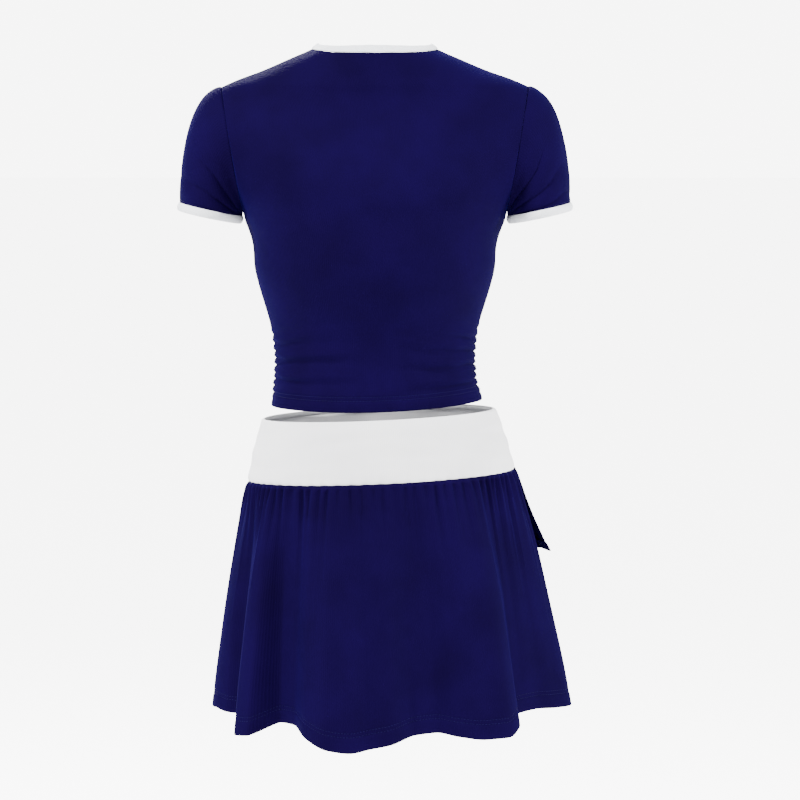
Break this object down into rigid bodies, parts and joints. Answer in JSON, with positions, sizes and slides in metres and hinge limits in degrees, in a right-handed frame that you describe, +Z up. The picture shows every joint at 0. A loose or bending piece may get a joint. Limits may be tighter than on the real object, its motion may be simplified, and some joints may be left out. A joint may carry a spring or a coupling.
{
  "type": "two-piece cheer uniform",
  "caption": "Cheer uniform as worn: navy crop tee with white neck and sleeve bindings, and a gathered mini skirt on a wide white waistband with a short front tier.",
  "frame": {"origin": "middle of the waistband's top edge", "axes": "+Z up along the wearer's body; the wearer faces -Y; +X is the wearer's left"},
  "size_m": [0.4514, 0.3252, 0.7749],
  "materials": {
    "navy_jersey": "navy cotton-elastane single jersey",
    "white_jersey": "white doubled cotton-elastane jersey",
    "white_rib": "white 1x1 rib binding",
    "stay_tape": "navy herringbone tape",
    "elastic": "woven elastic",
    "thread": "navy polyester sewing thread",
    "label_satin": "blank white satin label"
  },
  "bodies": {
    "skirt": {"waistband_back": "white_jersey", "waistband_front": "white_jersey", "waistband_facing": "white_jersey", "waist_elastic": "elastic", "skirt_back_panel": "navy_jersey", "skirt_front_panel": "navy_jersey", "front_tier": "navy_jersey", "skirt_hem_stitching": "thread", "tier_hem_stitching": "thread", "waist_seam_tape": "stay_tape"},
    "top": {"top_back_panel": "navy_jersey", "top_front_panel": "navy_jersey", "neck_binding": "white_rib", "back_neck_tape": "stay_tape", "left_shoulder_tape": "stay_tape", "right_shoulder_tape": "stay_tape", "left_gather_elastic": "elastic", "right_gather_elastic": "elastic", "top_hem_stitching": "thread"},
    "left_sleeve": {"left_sleeve": "navy_jersey", "left_cuff_binding": "white_rib", "left_cuff_stitching": "thread"},
    "right_sleeve": {"right_sleeve": "navy_jersey", "right_cuff_binding": "white_rib", "right_cuff_stitching": "thread"},
    "size_label": {"size_label": "label_satin"},
    "care_label": {"care_label": "label_satin"}
  },
  "joints": [
    {"name": "top_lift_off", "type": "slide", "parent": "skirt", "child": "top", "axis": [0, 0, 1], "range_m": [0, 0.45]},
    {"name": "left_sleeve_raise", "type": "hinge", "parent": "top", "child": "left_sleeve", "pos_m": [0.1783, 0, 0.3765], "axis": [0, -1, 0], "range_deg": [0, 25]},
    {"name": "right_sleeve_raise", "type": "hinge", "parent": "top", "child": "right_sleeve", "pos_m": [-0.1703, 0, 0.3765], "axis": [0, 1, 0], "range_deg": [0, 25]},
    {"name": "size_label_swing", "type": "hinge", "parent": "top", "child": "size_label", "pos_m": [0.004, 0.05115, 0.4], "axis": [-1, 0, 0], "range_deg": [0, 60]},
    {"name": "care_label_swing", "type": "hinge", "parent": "skirt", "child": "care_label", "pos_m": [-0.0032, 0.10665, -0.0709], "axis": [-0.999, 0, 0.0454], "range_deg": [0, 60]}
  ]
}
